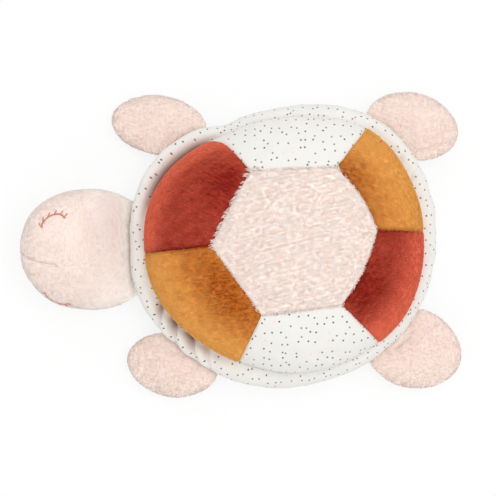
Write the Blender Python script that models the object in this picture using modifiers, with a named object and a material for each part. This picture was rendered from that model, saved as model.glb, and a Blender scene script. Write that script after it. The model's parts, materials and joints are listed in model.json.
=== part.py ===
"""Plush turtle: a patchwork shell cushion with a stuffed head and four stuffed flippers.

Metres, +Z up. The turtle looks along -X, and its right side is +Y. The origin is on the
surface that it lies on, under the middle of the shell.
"""

import bmesh
import bpy
import numpy as np
from mathutils import Matrix, Vector

MM = 0.001

# Cloth and sewing
cloth_thickness = 1.2 * MM
limb_cloth_thickness = 1.0 * MM
seam_gap = 0.3 * MM
filling_clearance = 0.8 * MM
weld_distance = 0.001 * MM

# Shell cushion
shell_half_length = 107 * MM
shell_rise = 49 * MM
shell_fullness = 2.35
seam_height = 42 * MM
band_depth = 12 * MM
band_half_height = 13 * MM
lower_seam_angle_deg = 50
belly_round = 24 * MM
around_steps = 36
band_rows = 5
belly_rows = 3
filling_dome_rows = 5
filling_band_rows = 4
filling_belly_rows = 3

# Every 15 degrees, counter-clockwise from the tail: the rim seam's radius against the half
# length, and how far the band stands out of it against the band's depth
shell_outline_shares = (
    1.00, 1.01, 1.015, 1.035, 1.025, 0.96, 0.925, 0.915, 0.915, 0.955, 1.00, 1.02,
    1.01, 1.00, 0.965, 0.925, 0.905, 0.90, 0.915, 0.93, 0.95, 0.975, 0.995, 0.995,
)
band_depth_shares = (
    1.00, 1.11, 1.21, 1.085, 0.925, 1.01, 0.875, 0.715, 1.065, 1.155, 1.15, 1.12,
    1.06, 1.20, 1.265, 1.27, 1.35, 1.345, 1.115, 0.93, 0.85, 0.775, 0.795, 0.945,
)

# Hexagon at the crown, with its corners counter-clockwise from the tail end
hexagon_half_length = 63 * MM
hexagon_half_width = 56 * MM
hexagon_rearward = 7.0 * MM
hexagon_side = 3.5 * MM
hexagon_corner_shares = (
    (1.0, 0.15),
    (0.51, 1.0),
    (-0.53, 0.95),
    (-1.0, -0.06),
    (-0.40, -1.0),
    (0.57, -0.86),
)
hexagon_crown = 4.0 * MM
hexagon_crown_power = 3
hexagon_edge_power = 1.6
hexagon_cuts = 4

# Side panels: each seam runs from a hexagon corner to the rim at this bearing
rim_corner_deg = (6.0, 55.0, 121.0, 183.0, 248.5, 314.5)
panel_crown = 4.5 * MM
panel_crown_power = 0.6
panel_columns = 8
panel_rows = 7
panel_column_crowding = 0.5
panel_row_crowding = 0.4

# Roots: the head and flippers are sewn in flat at the lower seam, and fold there
hinge_out = 2.2 * MM
hinge_drop = 1.1 * MM
root_radius = 1.8 * MM
neck_half_thickness = 1.5 * MM
edge_half_thickness = 0.6 * MM
least_half_thickness = 0.25 * MM

# Flippers: where each is sewn in, which way its oval sweeps, and how far
flipper_bearing_deg = {"front_right": 133, "front_left": 229.5, "rear_right": 47, "rear_left": 320}
flipper_sweep_deg = {"front_right": 48, "front_left": 64, "rear_right": 61, "rear_left": 26}
flippers_swept_clockwise = ("front_left", "rear_right")
flipper_half_length = 38 * MM
flipper_half_width = 26 * MM
root_half_angle_deg = 9

# The oval's middle out from the fold and along it, against the half length, then its own
# half length and half width against the two sizes above
flipper_oval_shares = {
    "front_right": (0.605, 0.30, 1.00, 0.90),
    "front_left": (0.47, 0.195, 0.95, 0.975),
    "rear_right": (0.435, 0.26, 0.985, 1.03),
    "rear_left": (0.42, 0.13, 1.05, 1.21),
}
flipper_half_thickness = 12.5 * MM
flipper_fullness = 2.4
flipper_outline_power = 1.9
flipper_corner_power = 14
flipper_edge_power = 2
flipper_taper = 30 * MM
flipper_taper_slope = 1.2
flipper_root_share = 0.1
flipper_hem_half_thickness = 0.8 * MM
flipper_filling_setback = 3.6 * MM
flipper_filling_edge = 1.2 * MM
flipper_around = 20
flipper_row_shares = (0.0, 0.5, 0.82, 1.0)

# Head
head_bearing_deg = 180
head_length = 87.5 * MM
head_half_width = 48.5 * MM
head_widest_at = 35 * MM
head_side = -3.0 * MM
head_half_height = 31 * MM
head_crown_at = 45 * MM
neck_half_width = 36 * MM
neck_half_angle_deg = 20
neck_underside_length = 26 * MM
neck_top_slope = 1.0
neck_underside_slope = 1.2
head_roll_deg = 24
head_fullness = 2.2
head_nose_power = 2.1
head_rows = 11
head_row_crowding = 0.55
head_half_around = 9
head_crease = 0.8 * MM
head_crease_width = 5.0 * MM
head_filling_setback = 3.0 * MM

# Closed eyes: an arc of satin stitch with lashes on its outer side
eye_from_nose = 28.8 * MM
eye_from_crown_deg = 45
eye_half_length = 9.1 * MM
eye_half_width = 7.7 * MM
eye_first_deg = -11
eye_last_deg = 163
eye_stitch_width = 1.6 * MM
eye_stitch_height = 0.8 * MM
eye_segments = 20
lash_segments = (0, 4, 8, 12, 15, 19)
lash_length = 3.6 * MM
lash_lean_share = 0.25
lash_tip_share = 0.4

# Colours, as linear red, green and blue
rust_velour = (0.38, 0.037, 0.021)
ochre_velour = (0.63, 0.195, 0.032)
pink_fur = (0.94, 0.75, 0.67)
pink_velour = (0.91, 0.76, 0.69)
dotted_cotton = (0.88, 0.86, 0.83)
eye_thread = (0.47, 0.15, 0.11)
polyester_wadding = (0.9, 0.9, 0.88)
cloth_roughness = 0.95


for old_object in list(bpy.data.objects):
    bpy.data.objects.remove(old_object, do_unlink=True)

turtle = bpy.data.collections.new("plush_turtle")
bpy.context.scene.collection.children.link(turtle)


def coloured(name, colour):
    material = bpy.data.materials.new(name)
    material.use_nodes = True
    shader = material.node_tree.nodes["Principled BSDF"]
    shader.inputs["Base Color"].default_value = (*colour, 1)
    shader.inputs["Roughness"].default_value = cloth_roughness
    shader.inputs["Metallic"].default_value = 0
    return material


def add_part(name, cage, colour, hinge=None):
    """Makes a named object of a cage built in the turtle's frame, with its origin on its hinge."""
    if hinge:
        bmesh.ops.translate(cage, verts=cage.verts, vec=-hinge.location)
    mesh = bpy.data.meshes.new(name)
    cage.to_mesh(mesh)
    cage.free()
    mesh.shade_smooth()
    mesh.materials.append(coloured(name, colour))
    part = bpy.data.objects.new(name, mesh)
    part.parent = hinge
    turtle.objects.link(part)
    return part


def add_hinge(name, place):
    hinge = bpy.data.objects.new(name, None)
    hinge.location = place
    turtle.objects.link(hinge)
    return hinge


def thicken(part, thickness, outwards=False):
    """Gives open cloth its thickness, inwards from its outer face unless outwards is set."""
    wall = part.modifiers.new("cloth", "SOLIDIFY")
    wall.thickness = thickness
    wall.offset = 1 if outwards else -1


def laid_out(columns, rows, place):
    """A flat grid whose points go where place(across, along) puts them, sewn up where they meet."""
    cage = bmesh.new()
    bmesh.ops.create_grid(cage, x_segments=columns, y_segments=rows, size=0.5)
    for vertex in cage.verts:
        vertex.co = place(vertex.co.x + 0.5, vertex.co.y + 0.5)
    bmesh.ops.remove_doubles(cage, verts=cage.verts, dist=weld_distance)
    return cage


def closed_up(cage):
    bmesh.ops.holes_fill(cage, edges=cage.edges)
    bmesh.ops.recalc_face_normals(cage, faces=cage.faces)
    return cage


def facing_away(cage, middle):
    """Turns open cloth so that its faces look away from the middle of what it covers."""
    cage.normal_update()
    if sum(face.normal.dot(face.calc_center_median() - middle) for face in cage.faces) < 0:
        bmesh.ops.reverse_faces(cage, faces=cage.faces)
    return cage


# Curves that the pieces share

def blend(first, last, share):
    return first + (last - first) * share


def crowded(share, amount):
    """A share moved towards the nearer end, so that rows lie closer together at both ends."""
    return share - amount * np.sin(2 * np.pi * share) / (2 * np.pi)


def eased(share, slope=0.0):
    """Rises from 0 to 1, with this slope at the start and none at the end."""
    share = min(max(share, 0.0), 1.0)
    return ((slope - 2) * share + 3 - 2 * slope) * share**2 + slope * share


def rounded(share, power, root=None):
    """Falls from 1 at share 0 to 0 at share 1, as the side of a superellipse does."""
    return max(1 - min(abs(share), 1.0) ** power, 0.0) ** (1 / (root or power))


def radius_share(shares, bearing):
    """Radius at a bearing, on the smooth closed curve through shares at equal steps."""
    step = bearing / (2 * np.pi) * len(shares)
    first = int(np.floor(step))
    part = step - first
    a, b, c, d = (shares[index % len(shares)] for index in range(first - 1, first + 3))
    bend = 2 * a - 5 * b + 4 * c - d + part * (3 * (b - c) + d - a)
    return b + 0.5 * part * (c - a + part * bend)


# Shell cushion: one surface that its panels, the band, the belly and the filling follow

def shell_radius(bearing):
    return shell_half_length * radius_share(shell_outline_shares, bearing)


def band_width(bearing):
    return band_depth * radius_share(band_depth_shares, bearing)


def lower_seam_radius(bearing):
    turn = np.radians(lower_seam_angle_deg)
    return shell_radius(bearing) + band_width(bearing) * np.cos(turn)


def lower_seam_height():
    return seam_height - band_half_height * (1 + np.sin(np.radians(lower_seam_angle_deg)))


def on_bearing(bearing, radius, height):
    return Vector((radius * np.cos(bearing), radius * np.sin(bearing), height))


def rim_share(x, y):
    """How far a place in plan is from the middle, as a share of the way to the rim seam."""
    return np.hypot(x, y) / shell_radius(np.arctan2(y, x))


def on_shell(x, y, lift):
    """The place over x and y on the shell's smooth dome, lifted square to it."""
    reach = min(rim_share(x, y), 1.0)
    rise = rounded(reach, shell_fullness)
    nudge = shell_half_length / 1000
    lean_x = (rim_share(x + nudge, y) - rim_share(x - nudge, y)) / (2 * nudge)
    lean_y = (rim_share(x, y + nudge) - rim_share(x, y - nudge)) / (2 * nudge)
    steepness = reach ** (shell_fullness - 1)
    flatness = rise ** (shell_fullness - 1) / shell_rise
    normal = Vector((steepness * lean_x, steepness * lean_y, flatness)).normalized()
    return Vector((x, y, seam_height + shell_rise * rise)) + normal * lift


def cushion_middle():
    return Vector((0, 0, seam_height))


def hexagon_middle():
    return Vector((hexagon_rearward, hexagon_side))


def hexagon_corner(index):
    x_share, y_share = hexagon_corner_shares[index % len(hexagon_corner_shares)]
    reach = Vector((hexagon_half_length * x_share, hexagon_half_width * y_share))
    return hexagon_middle() + reach


def add_hexagon():
    """The fur hexagon: a regular one, divided, drawn to its own corners and crowned."""
    middle = hexagon_middle()
    sides = len(hexagon_corner_shares)
    trim = 1 - seam_gap / 2 / hexagon_half_width
    cage = bmesh.new()
    first_corner = Matrix.Rotation(-np.pi / 2, 4, "Z")
    bmesh.ops.create_circle(
        cage, segments=sides, radius=1, cap_ends=True, cap_tris=True, matrix=first_corner
    )
    bmesh.ops.subdivide_edges(cage, edges=cage.edges, cuts=hexagon_cuts, use_grid_fill=True)
    for vertex in cage.verts:
        sector = int(np.arctan2(vertex.co.y, vertex.co.x) % (2 * np.pi) * sides / (2 * np.pi))
        turned = Matrix.Rotation(-2 * np.pi * sector / sides, 2) @ vertex.co.to_2d()
        across = turned.y / np.sin(2 * np.pi / sides)
        ahead = turned.x - across * np.cos(2 * np.pi / sides)
        first = hexagon_corner(sector) - middle
        second = hexagon_corner(sector + 1) - middle
        spot = middle + (first * ahead + second * across) * trim
        crown = rounded(ahead + across, hexagon_crown_power, hexagon_edge_power)
        vertex.co = on_shell(spot.x, spot.y, hexagon_crown * crown)
    facing_away(cage, cushion_middle())
    thicken(add_part("shell_hexagon_panel", cage, pink_fur), cloth_thickness)


def add_side_panel(name, index, colour):
    """One side panel, from a side of the hexagon down to the rim between two seams."""
    first_corner = hexagon_corner(index)
    second_corner = hexagon_corner(index + 1)
    first_turn = np.radians(rim_corner_deg[index])
    second_turn = np.radians(rim_corner_deg[(index + 1) % len(rim_corner_deg)])
    if second_turn < first_turn:
        second_turn += 2 * np.pi

    def plan(across, along):
        turn = blend(first_turn, second_turn, across)
        rim = on_bearing(turn, shell_radius(turn), 0).to_2d()
        start = blend(first_corner, second_corner, across)
        return blend(start, rim, 1 - (1 - along) ** 2)

    def place(across, along):
        across = crowded(across, panel_column_crowding)
        along = crowded(along, panel_row_crowding)
        crown = abs(np.sin(np.pi * across) * np.sin(np.pi * along)) ** panel_crown_power
        width = (plan(1, along) - plan(0, along)).length
        depth = (plan(across, 1) - plan(across, 0)).length
        across = blend(seam_gap / 2 / width, 1 - seam_gap / 2 / width, across)
        along = max(along, seam_gap / 4 / depth)
        spot = plan(across, along)
        lift = Vector((0, 0, seam_gap / 2 * along))
        return on_shell(spot.x, spot.y, panel_crown * crown) + lift

    cage = facing_away(laid_out(panel_columns, panel_rows, place), cushion_middle())
    thicken(add_part(name, cage, colour), cloth_thickness)


def on_band(bearing, turn, inset=0.0):
    """On the band's rolled side, at this angle above its fullest line."""
    radius = shell_radius(bearing) + (band_width(bearing) - inset) * np.cos(turn)
    middle = seam_height - band_half_height
    return on_bearing(bearing, radius, middle + (band_half_height - inset) * np.sin(turn))


def on_belly_side(bearing, turn, inset=0.0):
    """On the rounded edge of the belly, at this angle below the lower seam."""
    flat = lower_seam_radius(bearing) - belly_round
    height = lower_seam_height()
    radius = flat + (belly_round - inset) * np.cos(turn)
    return on_bearing(bearing, radius, height - (height - inset) * np.sin(turn))


def add_side_band():
    """The gathered band round the shell, rolled from the rim seam down to the lower seam."""
    trim = seam_gap / 2 / band_half_height
    top = np.pi / 2 - trim
    bottom = -np.radians(lower_seam_angle_deg) + trim

    def place(across, along):
        return on_band(2 * np.pi * across, blend(top, bottom, along))

    cage = facing_away(laid_out(around_steps, band_rows, place), cushion_middle())
    thicken(add_part("side_band", cage, dotted_cotton), cloth_thickness)


def add_belly_panel():
    """The belly: a dish whose rounded edge meets the band and whose middle lies flat."""
    start = seam_gap / 2 / lower_seam_height()

    def place(across, along):
        step = round(along * (belly_rows + 1))
        if step > belly_rows:
            return Vector((0, 0, 0))
        return on_belly_side(2 * np.pi * across, blend(start, np.pi / 2, step / belly_rows))

    cage = facing_away(laid_out(around_steps, belly_rows + 1, place), cushion_middle())
    thicken(add_part("belly_panel", cage, dotted_cotton), cloth_thickness)


def add_body_filling():
    """The wadding, one closed form just inside the panels, the band and the belly."""
    inset = cloth_thickness + filling_clearance
    dome = [("dome", share) for share in np.linspace(0, 1, filling_dome_rows + 1)]
    band = [("band", share) for share in np.linspace(0, 1, filling_band_rows + 1)]
    belly = [("belly", share) for share in np.linspace(0, 1, filling_belly_rows + 1)]
    stations = [*dome, *band, *belly, ("bottom", 1)]
    lower = -np.radians(lower_seam_angle_deg)

    def place(across, along):
        bearing = 2 * np.pi * across
        kind, share = stations[round(along * (len(stations) - 1))]
        if kind == "dome":
            turn = share * np.pi / 2
            radius = (shell_radius(bearing) - inset) * abs(np.sin(turn)) ** (2 / shell_fullness)
            rise = (shell_rise - inset) * abs(np.cos(turn)) ** (2 / shell_fullness)
            return on_bearing(bearing, radius, seam_height + rise)
        if kind == "band":
            return on_band(bearing, blend(np.pi / 2, lower, share), inset)
        if kind == "belly":
            return on_belly_side(bearing, share * np.pi / 2, inset)
        return Vector((0, 0, inset))

    cage = closed_up(laid_out(around_steps, len(stations) - 1, place))
    add_part("body_filling", cage, polyester_wadding)


# Roots and hinges

def hinge_line(bearing, half_angle):
    """Outward direction and distance of the fold line that lies against the lower seam."""
    turns = np.radians(np.linspace(bearing - half_angle, bearing + half_angle, 2 * around_steps))
    seam = np.array([on_bearing(turn, lower_seam_radius(turn), 0)[:2] for turn in turns])
    along = seam[-1] - seam[0]
    outward = np.array((along[1], -along[0])) / np.hypot(*along)
    return Vector((*outward, 0)), (seam @ outward).max() + hinge_out


def hinge_height():
    return lower_seam_height() - hinge_drop


# Flippers: ovals swept towards the near end, sewn in along a chord of the lower seam

class Flipper:
    """One flipper's oval, in a frame at the middle of its fold line: out, and along it."""

    def __init__(self, name):
        bearing = flipper_bearing_deg[name]
        outward, distance = hinge_line(bearing, root_half_angle_deg)
        turn = np.radians(bearing)
        seam = on_bearing(turn, lower_seam_radius(turn), 0)
        self.name = name
        self.outward = outward
        self.sideways = Vector((-outward.y, outward.x, 0))
        if name in flippers_swept_clockwise:
            self.sideways.negate()
        self.origin = outward * distance + self.sideways * seam.dot(self.sideways)
        self.origin.z = hinge_height()
        out_share, along_share, length_share, width_share = flipper_oval_shares[name]
        self.out = flipper_half_length * out_share
        self.along = flipper_half_length * along_share
        self.half_length = flipper_half_length * length_share
        self.half_width = flipper_half_width * width_share
        self.sweep = np.radians(flipper_sweep_deg[name])

    def reach(self, turn, inset=0.0):
        """From the oval's middle to its edge, which the fold line cuts off straight."""
        ahead = abs(np.cos(turn - self.sweep)) / (self.half_length - inset)
        aside = abs(np.sin(turn - self.sweep)) / (self.half_width - inset)
        power = flipper_outline_power
        oval = (ahead**power + aside**power) ** (1 / power)
        root = max(-np.cos(turn), 0.0) / (self.out + root_radius - inset)
        corner = flipper_corner_power
        return (oval**corner + root**corner) ** (-1 / corner)

    def place(self, turn, share, face, inset, edge, most_half=flipper_half_thickness):
        """On the upper (1) or lower (-1) face, this share of the way out, inset into the form."""
        radius = self.reach(turn, edge) * share
        spot = radius / self.reach(turn)
        x = self.out + radius * np.cos(turn)
        swelling = eased((x + root_radius) / flipper_taper, flipper_taper_slope)
        taper = blend(flipper_root_share, 1, swelling)
        crown = (flipper_half_thickness - edge_half_thickness) * taper
        side = rounded(spot, flipper_fullness, flipper_edge_power)
        half = edge_half_thickness + crown * side - inset
        half = min(max(half, least_half_thickness), most_half)
        middle = blend(hinge_height(), flipper_half_thickness, eased(x / flipper_taper))
        y = self.along + radius * np.sin(turn)
        level = Vector((0, 0, middle - hinge_height() + half * face))
        return self.origin + self.outward * x + self.sideways * y + level


def add_flipper_skin(flipper, hinge, name, face):
    """One velour piece: its outer side from the middle to the seam, then its inner side back."""
    cloth = limb_cloth_thickness
    most = flipper_half_thickness
    outer = [(share, 0.0, most) for share in flipper_row_shares]
    seam = (1.0, 0.0, seam_gap / 2)
    hem = (1.0, cloth, flipper_hem_half_thickness)
    inner = [(share, cloth, most) for share in reversed(flipper_row_shares[:-1])]
    steps = [*outer, seam, hem, *inner]

    def place(across, along):
        share, inset, most_half = steps[round(along * (len(steps) - 1))]
        return flipper.place(2 * np.pi * across, share, face, inset, inset, most_half)

    cage = closed_up(laid_out(flipper_around, len(steps) - 1, place))
    add_part(name, cage, pink_velour, hinge)


def add_flipper_filling(flipper, hinge, name):
    inset = limb_cloth_thickness + filling_clearance
    upper = [(share, 1) for share in flipper_row_shares]
    lower = [(share, -1) for share in reversed(flipper_row_shares)]
    steps = [*upper, *lower]

    def place(across, along):
        share, face = steps[round(along * (len(steps) - 1))]
        most_half = flipper_filling_edge if share == 1 else flipper_half_thickness
        turn = 2 * np.pi * across
        return flipper.place(turn, share, face, inset, flipper_filling_setback, most_half)

    cage = closed_up(laid_out(flipper_around, len(steps) - 1, place))
    add_part(name, cage, polyester_wadding, hinge)


def add_flipper(flipper):
    hinge = add_hinge(f"{flipper.name}_flipper_hinge", flipper.origin)
    add_flipper_skin(flipper, hinge, f"{flipper.name}_flipper_top", 1)
    add_flipper_skin(flipper, hinge, f"{flipper.name}_flipper_underside", -1)
    add_flipper_filling(flipper, hinge, f"{flipper.name}_flipper_filling")


# Head: rolled a little, so that its right eye looks up

def head_hinge_place():
    distance = hinge_line(head_bearing_deg, neck_half_angle_deg)[1]
    return Vector((-distance, head_side, hinge_height()))


def head_middle_height():
    """Height at which the widest section, rolled, just rests on the ground."""
    roll = np.radians(head_roll_deg)
    power = head_fullness / (head_fullness - 1)
    aside = head_half_width * np.sin(roll)
    below = head_half_height * np.cos(roll)
    return (aside**power + below**power) ** (1 / power)


def head_width_at(ahead, inset):
    if ahead < head_widest_at:
        back = (head_widest_at - ahead) / (head_widest_at + root_radius)
        return blend(head_half_width, neck_half_width, back**2) - inset
    past = (ahead - head_widest_at) / (head_length - inset - head_widest_at)
    return (head_half_width - inset) * rounded(past, head_nose_power)


def head_height_at(ahead, inset):
    """Height of the middle of a section, and half of what it measures from top to bottom."""
    middle = head_middle_height()
    if ahead >= head_crown_at:
        past = (ahead - head_crown_at) / (head_length - inset - head_crown_at)
        return middle, (head_half_height - inset) * rounded(past, head_nose_power)
    rise = eased(ahead / head_crown_at, neck_top_slope)
    sink = eased(ahead / neck_underside_length, neck_underside_slope)
    root = min((ahead + root_radius) / root_radius, 1.0)
    half_root = blend(edge_half_thickness, neck_half_thickness, root)
    top = blend(hinge_height() + half_root, middle + head_half_height, rise)
    bottom = blend(hinge_height() - half_root, middle - head_half_height, sink)
    return (top + bottom) / 2, max((top - bottom) / 2 - inset, least_half_thickness)


def on_head(ahead, turn, hand, inset=0.0, lift=0.0, seam=0.0):
    """On the right (1) or left (-1) side, this far from the fold, at this turn above its level."""
    half_width = head_width_at(ahead, inset)
    middle, half_height = head_height_at(ahead, inset)
    y = half_width * abs(np.cos(turn)) ** (2 / head_fullness)
    z = half_height * abs(np.sin(turn)) ** (2 / head_fullness) * np.sign(np.sin(turn))
    dip = head_crease / head_half_height * np.exp(-((y / head_crease_width) ** 2))
    slope = np.arctan2(np.sin(turn) * half_width, np.cos(turn) * half_height)
    y = hand * (y + seam + lift * np.cos(slope))
    z = z * (1 - dip) + lift * np.sin(slope)
    roll = np.radians(head_roll_deg) * eased(ahead / head_crown_at)
    across = y * np.cos(roll) - z * np.sin(roll)
    up = y * np.sin(roll) + z * np.cos(roll)
    fold = head_hinge_place()
    return Vector((fold.x - ahead, fold.y + across, middle + up))


def head_station(share, start, end):
    return blend(start, end, crowded(share, head_row_crowding))


def add_head_panel(name, hinge, hand):
    """One half of the head's velour: round its outer side, then back round its inner side."""
    turns = np.linspace(-np.pi / 2, np.pi / 2, head_half_around + 1)
    outer = [(turn, 0.0) for turn in turns]
    inner = [(turn, limb_cloth_thickness) for turn in reversed(turns)]
    loop = [*outer, *inner, outer[0]]

    def place(across, along):
        turn, inset = loop[round(across * (len(loop) - 1))]
        ahead = head_station(along, -root_radius, head_length - inset)
        return on_head(ahead, turn, hand, inset, seam=seam_gap / 2)

    add_part(name, closed_up(laid_out(len(loop) - 1, head_rows, place)), pink_velour, hinge)


def add_head_filling(hinge):
    inset = limb_cloth_thickness + filling_clearance

    def place(across, along):
        turn = 2 * np.pi * across - np.pi / 2
        hand = 1 if np.cos(turn) >= 0 else -1
        upright = np.arcsin(np.sin(turn))
        ahead = head_station(along, -root_radius, head_length - inset)
        ahead = max(ahead, head_filling_setback)
        return on_head(ahead, upright, hand, inset)

    cage = laid_out(2 * head_half_around, head_rows, place)
    add_part("head_filling", closed_up(cage), polyester_wadding, hinge)


def add_eye(name, hinge, hand):
    """A closed eye: a strip of satin stitch along an arc, with lashes drawn out of its edge."""
    first, last = np.radians(eye_first_deg), np.radians(eye_last_deg)
    middle_at = head_length - eye_from_nose
    cage = bmesh.new()
    bmesh.ops.create_grid(cage, x_segments=eye_segments, y_segments=1, size=0.5)
    rim = [edge for edge in cage.edges if all(vertex.co.y > 0 for vertex in edge.verts)]
    rim.sort(key=lambda edge: edge.verts[0].co.x + edge.verts[1].co.x)
    lashes = [rim[index] for index in lash_segments]
    drawn = bmesh.ops.extrude_edge_only(cage, edges=lashes)["geom"]
    tips = [item for item in drawn if isinstance(item, bmesh.types.BMEdge)]
    for tip in tips:
        middle = sum(vertex.co.x for vertex in tip.verts) / 2
        for vertex in tip.verts:
            vertex.co.x = blend(middle, vertex.co.x, lash_tip_share) + lash_lean_share / eye_segments
            vertex.co.y += lash_length / eye_stitch_width
    round_head = (head_half_width + head_half_height) / 2
    for vertex in cage.verts:
        turn = blend(first, last, vertex.co.x + 0.5)
        out = vertex.co.y * eye_stitch_width
        ahead = middle_at + (eye_half_length + out) * np.cos(turn)
        down = (eye_half_width + out) * np.sin(turn) / round_head
        upright = np.radians(90 - eye_from_crown_deg) - down
        vertex.co = on_head(ahead, upright, hand, lift=seam_gap)
    middle = head_hinge_place() + Vector((-middle_at, 0, 0))
    part = add_part(name, facing_away(cage, middle), eye_thread, hinge)
    thicken(part, eye_stitch_height, outwards=True)


# The whole turtle, from the shell down and from the head back

add_hexagon()
add_side_panel("shell_rear_right_panel", 0, ochre_velour)
add_side_panel("shell_right_panel", 1, dotted_cotton)
add_side_panel("shell_front_right_panel", 2, rust_velour)
add_side_panel("shell_front_left_panel", 3, ochre_velour)
add_side_panel("shell_left_panel", 4, dotted_cotton)
add_side_panel("shell_rear_left_panel", 5, rust_velour)
add_side_band()
add_belly_panel()
add_body_filling()

head_fold = add_hinge("head_hinge", head_hinge_place())
add_head_panel("head_right_panel", head_fold, 1)
add_head_panel("head_left_panel", head_fold, -1)
add_head_filling(head_fold)
add_eye("right_eye_embroidery", head_fold, 1)
add_eye("left_eye_embroidery", head_fold, -1)

for flipper_name in flipper_bearing_deg:
    add_flipper(Flipper(flipper_name))
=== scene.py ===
"""Plush turtle, dressed: a patchwork shell cushion, a soft head with closed eyes and four flippers.

Metres, +Z up. The turtle looks along -X and its right side is +Y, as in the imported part.
"""

import json

import bpy
import numpy as np
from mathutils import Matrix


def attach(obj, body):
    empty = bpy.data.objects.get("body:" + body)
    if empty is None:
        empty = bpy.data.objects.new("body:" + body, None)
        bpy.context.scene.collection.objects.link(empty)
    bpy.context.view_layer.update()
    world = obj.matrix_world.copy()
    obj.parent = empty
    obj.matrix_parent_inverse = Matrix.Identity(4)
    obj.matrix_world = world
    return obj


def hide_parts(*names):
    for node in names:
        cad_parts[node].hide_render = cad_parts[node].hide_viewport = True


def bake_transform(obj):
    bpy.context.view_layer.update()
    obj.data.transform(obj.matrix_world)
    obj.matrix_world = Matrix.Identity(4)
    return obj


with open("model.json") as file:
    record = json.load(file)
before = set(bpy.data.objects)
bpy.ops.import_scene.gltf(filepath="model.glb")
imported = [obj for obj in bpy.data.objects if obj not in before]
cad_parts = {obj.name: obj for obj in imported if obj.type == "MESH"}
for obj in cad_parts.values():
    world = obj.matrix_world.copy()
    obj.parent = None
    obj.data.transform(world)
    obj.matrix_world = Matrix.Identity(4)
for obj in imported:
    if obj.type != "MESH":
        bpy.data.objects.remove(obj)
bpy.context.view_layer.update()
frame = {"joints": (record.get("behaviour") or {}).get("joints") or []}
MM = 0.001


# Floor, lamp and camera: the toy lies on a white table and is seen from straight above.
# The light is a bright overcast one from all sides, with a large soft lamp above the tail end.

camera_height = 1.5
picture_width = 0.3968
picture_middle = (-0.0284, -0.0016)
sensor_width = 36
lamp_place = (0.3, 0.15, 1.9)
lamp_tilt = np.radians((-4.5, 9, 0))
lamp_width = 1.2
lamp_power = 12.5
sky_strength = 0.84
table_half_width = 3.0
table_below = 0.5 * MM
table_glow = 0.8
table_tint = (0.9, 0.9, 0.9, 1)


def set_inputs(tree, node, **inputs):
    """Sets each input of a node, by its name or its number, to a value or links it to a socket."""
    for name, value in inputs.items():
        number = name[1:]
        socket = node.inputs[int(number) if number.isdigit() else name.replace("_", " ")]
        if isinstance(value, bpy.types.NodeSocket):
            tree.links.new(value, socket)
        else:
            socket.default_value = value


def add_node(tree, kind, settings=None, **inputs):
    """Adds one node, with its settings and with each input set to a value or linked to a socket."""
    node = tree.nodes.new(kind)
    for name, value in (settings or {}).items():
        setattr(node, name, value)
    set_inputs(tree, node, **inputs)
    return node


def new_material(name):
    """A new material, its node tree and its surface node."""
    material = bpy.data.materials.new(name)
    material.use_nodes = True
    return material, material.node_tree, material.node_tree.nodes["Principled BSDF"]


def linear(code):
    """An sRGB hex colour as linear red, green, blue and alpha."""
    part = np.array([int(code[i:i + 2], 16) for i in (1, 3, 5)]) / 255
    return (*np.where(part <= 0.04045, part / 12.92, ((part + 0.055) / 1.055) ** 2.4), 1.0)


camera = bpy.data.objects.new("camera", bpy.data.cameras.new("camera"))
bpy.context.scene.collection.objects.link(camera)
camera.location = (*picture_middle, camera_height)
camera.data.sensor_width = sensor_width
camera.data.lens = sensor_width * camera_height / picture_width
bpy.context.scene.camera = camera
bpy.context.scene.view_settings.view_transform = "Standard"

lamp = bpy.data.objects.new("soft_lamp", bpy.data.lights.new("soft_lamp", "AREA"))
bpy.context.scene.collection.objects.link(lamp)
lamp.data.shape = "DISK"
lamp.data.size = lamp_width
lamp.data.energy = lamp_power
lamp.location = lamp_place
lamp.rotation_euler = lamp_tilt

white = linear("#FFFFFF")
larger = {"operation": "MAXIMUM"}
world = bpy.data.worlds.new("studio")
bpy.context.scene.world = world
world.use_nodes = True
sky = world.node_tree
sky.nodes.clear()
ray = add_node(sky, "ShaderNodeLightPath").outputs
seen = add_node(sky, "ShaderNodeMath", larger, _0=ray["Is Camera Ray"], _1=ray["Is Glossy Ray"])
seen = add_node(sky, "ShaderNodeMath", larger, _0=seen.outputs[0], _1=ray["Is Transmission Ray"])
shown = add_node(sky, "ShaderNodeBackground", Color=white, Strength=1.0)
light = add_node(sky, "ShaderNodeBackground", Color=white, Strength=sky_strength)
both = add_node(sky, "ShaderNodeMixShader", _0=seen.outputs[0], _1=light.outputs[0], _2=shown.outputs[0])
add_node(sky, "ShaderNodeOutputWorld", Surface=both.outputs[0])

# White paper, matt: it glows to the camera alone, so that the page looks white and keeps the shadow
product = {"operation": "MULTIPLY"}
paper, tree, _ = new_material("white_paper")
tree.nodes.clear()
ray = add_node(tree, "ShaderNodeLightPath").outputs
matt = add_node(tree, "ShaderNodeBsdfDiffuse", Color=table_tint)
glow = add_node(tree, "ShaderNodeEmission", Color=white, Strength=1.0)
share = add_node(tree, "ShaderNodeMath", product, _0=ray["Is Camera Ray"], _1=table_glow)
both = add_node(tree, "ShaderNodeMixShader", _0=share.outputs[0], _1=matt.outputs[0], _2=glow.outputs[0])
add_node(tree, "ShaderNodeOutputMaterial", Surface=both.outputs[0])
table = bpy.data.meshes.new("table_top")
corners = np.array(((-1, -1, 0), (1, -1, 0), (1, 1, 0), (-1, 1, 0))) * table_half_width
table.from_pydata(corners.tolist(), [], [(0, 1, 2, 3)])
table.materials.append(paper)
floor = bpy.data.objects.new("table_top", table)
floor.location.z = -table_below
bpy.context.scene.collection.objects.link(floor)


# Shell, the fur hexagon: long curly teddy fur, knitted and brushed, in pale pink. It is sewn
# to its six neighbours with its edge turned in, and the wadding below crowns it.

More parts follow.
